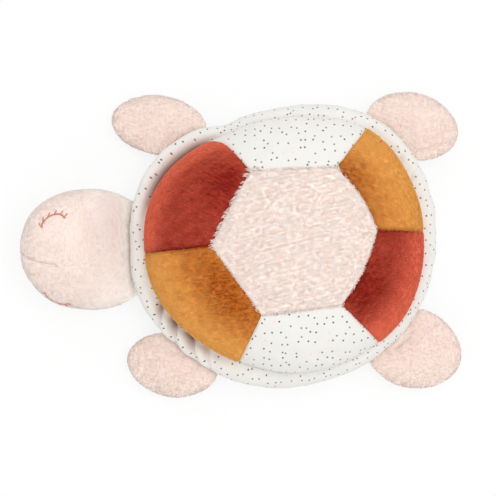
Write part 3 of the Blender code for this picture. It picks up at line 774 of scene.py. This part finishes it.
# The sunken strip beside the rim seam is a bell curve across, less the roll beyond it
valley = bell(across - 0.09, 0.12) - 0.3 * bell(across - 0.42, 0.2)
sink = closed_curve(valley_depths, bearing) * MM * valley
for degrees, slant, width, depth in band_folds:
    off = (np.degrees(bearing) - degrees - slant * across * 2 + 180) % 360 - 180
    sink += depth * MM * bell(np.radians(off) * fold_radius, width) * bell(across - 0.22, 0.28)
shift = -sink + 0.35 * MM * gathers + 0.35 * MM * ripple(band_skin, 18 * MM, 73)
shift -= dip_depth * MM * bell(np.degrees(bearing) - dip_bearing, dip_width) * bell(across - 0.6, 0.35)
to_seam = np.minimum(across, 1 - across)
shift = shift * smooth(to_seam / 0.04) - band_turn_in * (1 - smooth(to_seam / 0.03))
band_skin = band_skin + band_normals * shift[..., None]
part = cloth(band_skin, normals_of(band_skin, True, shell_middle), cotton_thickness, wrap=True)
strip = (np.stack((bearing, across), -1) * printed_strip).reshape(-1, 2)
# The band's tone is how deep it sinks past 1 mm, for the cotton's painted shade in its folds and valleys
band = piece("gathered_side_band", [part], dotted_cotton, "side_band", "body",
             tone=lambda u, v, points: np.tile(0.5 + ((sink.reshape(-1) / MM - 1) / 16).clip(0, 0.5), 2),
             prints=np.tile(strip, (2, 1)))


# Belly: one oval of the dotted cotton, sewn to the band with its edge rounded by the wadding.
# The toy rests on its flat middle.

belly_round = 24 * MM
belly_edge_share = 0.4
lower_seam_height = seam_height - band_half_height * (1 + np.sin(lower_seam_angle))


def lower_seam_radius(bearing):
    """The radius of the seam between band and belly at a bearing."""
    return rim_radius(bearing) + band_width(bearing) * np.cos(lower_seam_angle)


def on_belly_side(bearing, turn, inset=0.0):
    """The belly's rounded edge: a quarter ellipse from the lower seam down to the ground."""
    radius = lower_seam_radius(bearing) - belly_round + (belly_round - inset) * np.cos(turn)
    height = lower_seam_height - (lower_seam_height - inset) * np.sin(turn)
    return at_bearing(bearing, radius, height)


bearing, step = ring_grid(300, 44)
belly_skin = on_belly_side(bearing, np.clip(step / belly_edge_share, 0, 1) * np.pi / 2)
inwards = np.clip((step - belly_edge_share) / (1 - belly_edge_share), 0, 1)[..., None]
belly_skin[..., :2] *= 1 - inwards
puckers = ripple(towards(bearing) * shell_half_length, 9 * MM, 81)
belly_skin[..., 2] += 0.3 * MM * puckers * np.exp(-step / 0.08) * smooth(step / 0.02)
part = cloth(belly_skin, normals_of(belly_skin, True, shell_middle), cotton_thickness, wrap=True, poles=(-1,))
belly = piece("belly_cloth", [part], dotted_cotton, "belly_panel", "body",
              prints=unrolled(part["points"], 0.0))


# Wadding of the shell: loose polyester fibre, carded and stuffed in through the belly seam. It
# fills the dome and the belly to within 3 mm, leaves the band slack, and is lumpy where handfuls lie.

filling_inset = 2.4 * MM
band_slack = 5.0 * MM
# Where the band folds deep, in degrees: the bearing, and how far to either side its folds reach and fade
folds_at, folds_reach, folds_fade = 218, 26, 8
fibre_clump = 2.5 * MM

# Polyester fibre filling, carded: white, matt and cloudy
wadding, tree, shader = new_material("carded_polyester_wadding")
place = add_node(tree, "ShaderNodeTexCoord").outputs["Object"]
fibre = add_node(tree, "ShaderNodeTexNoise", Vector=place, Scale=1 / fibre_clump, Detail=6.0, Roughness=0.7)
colour = add_node(tree, "ShaderNodeMix", mixed_colour, _0=fibre.outputs[0], _6=linear("#E6E6E2"),
                  _7=linear("#FBFBFA"))
bump = add_node(tree, "ShaderNodeBump", Strength=0.8, Distance=0.8 * MM, Height=fibre.outputs[0])
set_inputs(tree, shader, Base_Color=colour.outputs[2], Normal=bump.outputs[0], Roughness=1.0,
           Specular_IOR_Level=0.1, Sheen_Weight=0.4)


def stuffing(name, skin, node, body, middle, seed):
    """A closed lump: a grid with a pole at each end, dented inwards by smooth noise."""
    normals = normals_of(skin, True, middle)
    skin = skin - normals * (0.35 * MM * (1 + ripple(skin, 15 * MM, seed)))[..., None]
    _, quads, triangles, _ = grid_faces(skin, normals, True, (0, -1))
    part = bare_part(skin[None], normals[None], quads, triangles)
    made = piece(name, [part], wadding, node, body)


bearing, step = ring_grid(120, 25)
tilt = step * np.pi / 2
radius = (rim_radius(bearing) - filling_inset) * np.sin(tilt) ** (2 / shell_fullness)
rise = (shell_rise - filling_inset) * np.cos(tilt).clip(0) ** (2 / shell_fullness)
dome = at_bearing(bearing, radius, seam_height + rise)
bearing, step = ring_grid(120, 16, 0.06)
side = on_band(bearing, np.pi / 2 - (np.pi / 2 + lower_seam_angle) * step, filling_inset + band_slack)
# Where the band sinks or folds deep, the wadding stays inside its dents: it runs straight down from
# the rim seam and bends out to the lower seam by the cube of the way
radius = rim_radius(bearing)
radius = radius - filling_inset + (lower_seam_radius(bearing) - radius) * step**3
slack = at_bearing(bearing, radius, seam_height - (seam_height - lower_seam_height) * step)
folded = smooth((folds_reach - np.abs(np.degrees(bearing) - folds_at)) / folds_fade)
deep = np.maximum(smooth(closed_curve(valley_depths, bearing) / 4), folded)
side += (slack - side) * deep[..., None]
under = on_belly_side(bearing, step * np.pi / 2, filling_inset)
bottom = under[-1:] * np.linspace(1, 0, 8)[1:, None, None] * (1, 1, 0) + (0, 0, filling_inset)
shell_lump = np.concatenate((dome, side, under, bottom))
stuffing("shell_wadding", shell_lump, "body_filling", "body", shell_middle, 91)


# Head: two halves of short pale pink velour, sewn together down the middle and turned, stuffed,
# and sewn flat into the seam under the band. It lies rolled to its left.

head_length = 87.5 * MM
head_half_width = 48.5 * MM
head_widest_at = 35 * MM
head_half_height = 31 * MM
head_crown_at = 45 * MM
neck_half_width = 36 * MM
neck_underside_length = 26 * MM
neck_half_thickness = 1.5 * MM
neck_hem = 2.6 * MM
edge_half_thickness = 0.6 * MM
root_radius = 1.8 * MM
head_fullness = 2.2
head_nose_power = 2.1
head_roll = np.radians(24)
pink_backing = 0.8 * MM
head_strands = 9000
head_crowding = 0.55
seam_half_width = 1.8 * MM
hinges = {joint["child"]: joint for joint in frame["joints"]}
neck = np.array(hinges["head"]["pos_m"])
hinge_height = neck[2]
# The head's middle is as high as its rolled section reaches down, so that it rests on the floor
power = head_fullness / (head_fullness - 1)
head_middle = (
    (head_half_width * np.sin(head_roll)) ** power + (head_half_height * np.cos(head_roll)) ** power
) ** (1 / power)
head_core = np.array((neck[0] - head_crown_at, neck[1], head_middle))
# The crease that the photograph shows on the head's top: its two ends in plan, in metres, and its
# width and depth in mm
head_creases = (((-0.1715, 0.0085), (-0.1715, -0.0075), 1.3, 0.45),)


def eased(share, slope=0.0):
    """Rises from 0 to 1, with this slope at the start and none at the end: a cubic."""
    share = np.clip(share, 0, 1)
    return ((slope - 2) * share + 3 - 2 * slope) * share**2 + slope * share


def on_head(ahead, turn, hand, inset=0.0, lift=0.0):
    """A section is a superellipse, y = a |cos|^(2/p) and z = b |sin|^(2/p). Its half width grows
    by a square from the neck to the widest place and closes like a superellipse at the nose; its
    top and bottom leave the flat neck by cubics. The whole is rolled, and lift is square to it."""
    back = np.clip((head_widest_at - ahead) / (head_widest_at + root_radius), 0, None)
    past = (ahead - head_widest_at) / (head_length - inset - head_widest_at)
    wide = np.where(
        ahead < head_widest_at, head_half_width + (neck_half_width - head_half_width) * back**2 - inset,
        (head_half_width - inset) * rounded(np.clip(past, 0, 1), head_nose_power),
    )
    past = (ahead - head_crown_at) / (head_length - inset - head_crown_at)
    nose = (head_half_height - inset) * rounded(np.clip(past, 0, 1), head_nose_power)
    root = np.clip((ahead + root_radius) / root_radius, 0, 1)
    half_root = edge_half_thickness + (neck_half_thickness - edge_half_thickness) * root
    rise = head_middle + head_half_height - hinge_height - half_root
    drop = head_middle - head_half_height - hinge_height + half_root
    top = hinge_height + half_root + rise * eased(ahead / head_crown_at, 1)
    low = hinge_height - half_root + drop * eased(ahead / neck_underside_length, 1.2)
    centre = np.where(ahead >= head_crown_at, head_middle, (top + low) / 2)
    tall = np.where(ahead >= head_crown_at, nose, np.maximum((top - low) / 2 - inset, 0.25 * MM))
    y = wide * np.abs(np.cos(turn)) ** (2 / head_fullness)
    z = tall * np.abs(np.sin(turn)) ** (2 / head_fullness) * np.sign(np.sin(turn))
    slope = np.arctan2(np.sin(turn) * wide, np.cos(turn) * tall)
    y = hand * (y + lift * np.cos(slope))
    z = z + lift * np.sin(slope)
    roll = head_roll * eased(ahead / head_crown_at)
    return np.stack((neck[0] - ahead + 0 * y, neck[1] + y * np.cos(roll) - z * np.sin(roll),
                     centre + y * np.sin(roll) + z * np.cos(roll)), -1)


def crease_depth(points, creases):
    """Depth of grooves: each a bell curve of the distance in plan from its line, round its ends too."""
    total = np.zeros(points.shape[:-1])
    for first, last, width, depth in creases:
        first, last = np.array(first), np.array(last)
        way = last - first
        share = ((points[..., :2] - first) @ way) / (way @ way)
        near = first + np.clip(share, 0, 1)[..., None] * way
        off = np.linalg.norm(points[..., :2] - near, axis=-1)
        total += depth * MM * bell(off, width * MM)
    return total


def short_down(skin, normals, count, nap, longest, rise, seed, wrap=False):
    """Sheared pile: many short strands that lie along the nap, each a little its own way."""
    random = np.random.default_rng(seed)
    roots, up, flat = scattered(skin, normals, count, random, wrap)
    lean = nap + 0.35 * random.normal(size=roots.shape)
    length = random.uniform(*longest, count) * MM
    width = random.uniform(0.38, 0.55, count) * MM
    return strands(roots, up, flat, lean, length, width, rise, 0.05, random, 1.0)


# Velour, sheared very short: pale pink, even, with a faint down at its outline
pink_velour = pile_material("short_velour_pale_pink", "#FBE9DF", "#F2D6C9", "#FFF6F0", 0.6, "#FFFFFF", 0.12)


def head_half(label, hand, seed):
    """Half of the head: rows run from the neck to the nose and columns from its underside over its
    outer side to the crown, where rows are drawn to their neighbours' mean to even out its bend. The
    middle seam sinks, with puckers that alternate along it."""
    turn, step = np.meshgrid(np.linspace(-np.pi / 2, np.pi / 2, 90), np.linspace(0, 1, 90))
    turn = turn + 0.35 * np.sin(2 * turn) / 2
    step = crowded(step, head_crowding)
    ahead = -neck_hem + (head_length + neck_hem) * step
    skin = on_head(ahead, turn, hand)
    crown = bell(ahead - 42 * MM, 9 * MM)[1:-1, :, None]
    for _ in range(12):
        skin[1:-1] += crown * ((skin[:-2] + skin[2:]) / 2 - skin[1:-1]) / 2
    normals = normals_of(skin, False, head_core)
    to_crown = np.abs(skin[..., 1:] - skin[:, -1:, 1:]).sum(-1)
    to_chin = np.abs(skin[..., 1:] - skin[:, :1, 1:]).sum(-1)
    seam = bell(np.minimum(to_crown, to_chin), seam_half_width)
    body = smooth((ahead - 4 * MM) / (12 * MM)) * (1 - smooth((step - 0.96) / 0.04))
    pucker = ripple(ahead[..., None], 7 * MM, seed) * np.exp(-to_crown / (5 * MM))
    front = smooth((ahead - 54 * MM) / (8 * MM))
    shift = -(0.35 + 1.9 * front) * MM * seam * body + 0.25 * MM * pucker * body
    on_top = skin[..., 2] > 0.3 * head_middle
    shift += 0.25 * MM * ripple(skin, 34 * MM, seed + 1) * body - crease_depth(skin, head_creases) * on_top
    neck_folds = ripple(turn[..., None] * 40 * MM, 14 * MM, seed + 2) * bell(ahead - 4 * MM, 4 * MM)
    shift += 0.3 * MM * neck_folds * smooth(ahead / (4 * MM))
    skin = skin + normals * shift[..., None]
    normals = normals_of(skin, False, head_core)
    down = short_down(skin, normals, head_strands, head_wards, (0.7, 1.1), 0.24, seed)

    def tone(u, v, points):
        """Painted light where the velour runs down to the neck, against the shade of its slope and of the
        shell.
        """
        # Painted light on the neck's slope
        painted_neck_light = smooth((points[:, 0] - neck[0] + 44 * MM) / (26 * MM))
        return 0.28 + 0.08 * ripple(points, 20 * MM, seed + 4) + 0.8 * painted_neck_light

    made = piece(f"head_half_{label}", [cloth(skin, normals, pink_backing, poles=(-1,)), down], pink_velour,
                 f"head_{label}_panel", tone=tone)
    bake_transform(made)


head_half("right", 1, 101)
head_half("left", -1, 111)

turn, step = ring_grid(72, 48)
ahead = 4 * MM + (head_length - filling_inset - 4 * MM) * crowded(step, head_crowding)
right, left = (on_head(ahead, np.arcsin(np.sin(turn)), hand, filling_inset) for hand in (1, -1))
lump = np.where((np.cos(turn) >= 0)[..., None], right, left)
lump = np.concatenate((lump[:1].mean(1, keepdims=True) + 0 * lump[:1], lump))
stuffing("head_wadding", lump, "head_filling", "head", head_core, 121)


# Closed eyes: machine embroidery in terracotta thread, a curved line of satin stitch with six
# lashes of a few long stitches, worked on each half of the head before it was sewn up.

eye_from_nose = 28.8 * MM
eye_half_length = 9.1 * MM
eye_half_width = 7.7 * MM
eye_turns = np.radians((-11, 163))
eye_upright = np.radians(90 - 45)
eye_stitches = 74
lash_stitches = (1, 15, 30, 44, 58, 71)
thread_width = 0.6 * MM
thread_rise = 0.3 * MM

# Rayon embroidery thread, twisted: terracotta, with a silky gloss along each stitch
eye_thread, tree, shader = new_material("twisted_rayon_thread_terracotta")
chance = add_node(tree, "ShaderNodeAttribute", {"attribute_name": "chance"}).outputs["Fac"]
colour = add_node(tree, "ShaderNodeMix", mixed_colour, _0=chance, _6=linear("#BE7460"), _7=linear("#DB9A86"))
set_inputs(tree, shader, Base_Color=colour.outputs[2], Roughness=0.5, Sheen_Weight=0.2)


def stitches(starts, ends, height, width, random):
    """Stitches from start to end points: six-sided tubes whose middle line bows up by a half sine."""
    steps = np.linspace(0, 1, 7)
    bow = np.sin(np.pi * steps) ** 0.6
    line = starts[:, None] * (1 - steps[:, None]) + ends[:, None] * steps[:, None]
    line = line + height[:, None] * bow[:, None]
    radius = width / 2 * (0.45 + 0.55 * bow)[:, None]
    rings, outward, way = tube_rings(line, height, radius, np.linspace(2 * np.pi, 0, 6, endpoint=False))
    count, rows = rings.shape[:2]
    last = rows * 6
    points = np.concatenate((rings.reshape(count, last, 3), line[:, :1], line[:, -1:]), 1)
    outward = np.concatenate((outward.reshape(count, last, 3), -way[:, :1], way[:, -1:]), 1)
    start = np.arange(count)[:, None, None] * (last + 2)
    caps = np.array([((k + 1) % 6, k, last) for k in range(6)]
                    + [(last - 6 + k, last - 6 + (k + 1) % 6, last + 1) for k in range(6)])
    lane = (np.arange(count) + 0.5) / count
    spread = np.array([(0.35 * np.cos(k * np.pi / 3 + 0.3), row / (rows - 1) * 0.9 + 0.05)
                       for row in range(rows) for k in range(6)] + [(0, 0), (0, 1.0)])
    flat = np.stack((lane[:, None] + spread[:, 0] / count, np.tile(spread[:, 1], (count, 1))), -1)
    return {"points": points.reshape(-1, 3), "quads": (tube_quads(rows, 6) + start).reshape(-1, 4),
            "triangles": (caps + start).reshape(-1, 3), "flat": flat.reshape(-1, 2),
            "normals": outward.reshape(-1, 3), "pile": np.ones(count * (last + 2)),
            "chance": np.repeat(random.random(count), last + 2)}


def on_eye(turn, out, hand):
    """On the head, at a turn round the eye's ellipse and this far out from it."""
    ahead = head_length - eye_from_nose + (eye_half_length + out) * np.cos(turn)
    down = (eye_half_width + out) * np.sin(turn) / ((head_half_width + head_half_height) / 2)
    return on_head(ahead, eye_upright - down, hand, lift=0.2 * MM)


def embroidered_eye(label, hand, seed):
    """An eye's line, of stitches across an arc of its ellipse, and its lashes, each four stitches."""
    random = np.random.default_rng(seed)
    turns = np.linspace(*eye_turns, eye_stitches)
    inner = on_eye(turns - 0.012, -0.65 * MM, hand)
    outer = on_eye(turns + 0.012, 0.75 * MM, hand)
    height = np.cross(outer - inner, np.roll(inner, -1, 0) - inner)
    height[-1] = height[-2]
    height = unit(height) * thread_rise
    height *= np.sign((height * (inner - head_core)).sum())
    parts = [stitches(inner, outer, height, thread_width, random)]
    for index in lash_stitches:
        turn = turns[index]
        sweep = 0.6 - 0.011 * index
        for side in (-1.5, -0.5, 0.5, 1.5):
            first = on_eye(np.array([turn + side * 0.022]), 0.2 * MM, hand)
            last = on_eye(np.array([turn + sweep + side * 0.014]), (4.1 - 0.3 * abs(side)) * MM, hand)
            parts.append(stitches(first, last, height[index:index + 1], thread_width, random))
    piece(f"eye_embroidery_{label}", parts, eye_thread, f"{label}_eye_embroidery", "head")


embroidered_eye("right", 1, 131)
embroidered_eye("left", -1, 132)


# Flippers: each two ovals of the pink velour, sewn together round the edge, turned and stuffed
# softly, then sewn flat into the seam under the band, aslant to it.

flippers = {
    # name: the oval's middle out and along, its half length and half width in millimetres,
    # its sweep in degrees, and the side to which it sweeps
    "front_right": (22.99, 11.4, 38.0, 23.4, 48, 1),
    "front_left": (17.86, 7.41, 36.1, 25.35, 64, -1),
    "rear_right": (16.53, 9.88, 37.43, 26.78, 61, -1),
    "rear_left": (15.96, 4.94, 39.9, 31.46, 26, 1),
}
flipper_half_thickness = 12.5 * MM
flipper_taper = 30 * MM
flipper_hem = 0.8 * MM
# Strands on the upper side, whose face is 1, and on the underside
flipper_strands = {1: 4000, -1: 2000}
# Creases on the flippers' upper sides, as on the head's top
flipper_creases = {
    "front_right": (((-0.0985, 0.0765), (-0.088, 0.0865), 2.2, 0.7),),
    "front_left": (((-0.098, -0.077), (-0.085, -0.084), 2.4, 0.8),),
    "rear_right": (((0.1052, 0.0745), (0.1325, 0.0813), 1.3, 1.2),),
    "rear_left": (((0.0885, -0.0795), (0.0995, -0.0685), 2.0, 1.2),),
}


def flipper_frame(name):
    """The middle of the fold line, its direction outwards, and along it towards the swept side."""
    joint = hinges[f"{name}_flipper"]
    axis = np.array(joint["axis"])
    outward = np.array((-axis[1], axis[0], 0.0))
    return np.array(joint["pos_m"]), outward, np.array((-outward[1], outward[0], 0.0)) * flippers[name][5]


def on_flipper(name, turn, share, face, inset=0.0):
    """Plan: an oval |a|^1.9 + |b|^1.9 = 1, swept, and cut off straight at the fold. Thickness: half
    is the crown, which swells out from the fold, times (1 - share^2.4)^(1/2)."""
    out, along, half_length, half_width = np.array(flippers[name][:4]) * MM - (0, 0, inset, inset)
    bent = turn - np.radians(flippers[name][4])
    oval = (np.abs(np.cos(bent) / half_length) ** 1.9 + np.abs(np.sin(bent) / half_width) ** 1.9) ** (1 / 1.9)
    root = np.maximum(-np.cos(turn), 0) / (out + root_radius + flipper_hem - inset)
    radius = (oval**14 + root**14) ** (-1 / 14) * share
    x = out + radius * np.cos(turn)
    y = along + radius * np.sin(turn)
    taper = 0.1 + 0.9 * eased((x + root_radius) / flipper_taper, 1.2)
    crown = (flipper_half_thickness - edge_half_thickness) * taper
    half = edge_half_thickness * rounded(share, 16, 2) + crown * rounded(share, 2.4, 2) - inset
    middle = (flipper_half_thickness - hinge_height) * eased(x / flipper_taper)
    height = middle + np.maximum(half, 0.12 * MM) * face
    origin, outward, sideways = flipper_frame(name)
    return origin + outward * x[..., None] + sideways * y[..., None] + (0, 0, 1.0) * height[..., None]


def flipper_skin(name, face, seed):
    """One oval of velour: rows run from its middle to its edge, where the seam puckers it."""
    turn, share = ring_grid(132, 34)
    share = np.sin(share * np.pi / 2)
    skin = on_flipper(name, turn, share, face)
    middle = on_flipper(name, np.zeros(1), np.zeros(1), 1)[0] * (1, 1, 0) + (0, 0, flipper_half_thickness)
    normals = normals_of(skin, True, middle)
    ring = towards(turn) * 32 * MM
    edge = np.exp(-(1 - share) / 0.14) * smooth((1 - share) / 0.012)
    shift = 0.35 * MM * ripple(ring, 6 * MM, seed) * edge
    shift += 0.4 * MM * ripple(skin, 20 * MM, seed + 1) * rounded(share, 6)
    if face > 0:
        shift -= crease_depth(skin, flipper_creases[name])
    skin = skin + normals * shift[..., None]
    normals = normals_of(skin, True, middle)
    origin, outward, _ = flipper_frame(name)
    down = short_down(skin, normals, flipper_strands[face], outward, (0.8, 1.3), 0.3, seed, wrap=True)
    label = "top" if face > 0 else "underside"
    backing = cloth(skin, normals, pink_backing, wrap=True, poles=(0,))
    made = piece(f"{name}_flipper_{label}_velour", [backing, down], pink_velour,
                 f"{name}_flipper_{label}",
                 tone=lambda u, v, points: 0.15 + 0.08 * ripple(points, 18 * MM, seed + 3))
    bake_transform(made)


for seed, name in enumerate(flippers):
    flipper_skin(name, 1, 200 + seed * 10)
    flipper_skin(name, -1, 300 + seed * 10)
    turn, step = ring_grid(60, 14)
    upper, lower = (on_flipper(name, turn, np.sin(step * np.pi / 2), face, filling_inset) for face in (1, -1))
    stuffing(f"{name}_flipper_wadding", np.concatenate((upper, lower[::-1])), f"{name}_flipper_filling",
             f"{name}_flipper", (upper[0, 0] + lower[0, 0]) / 2, 400 + seed)
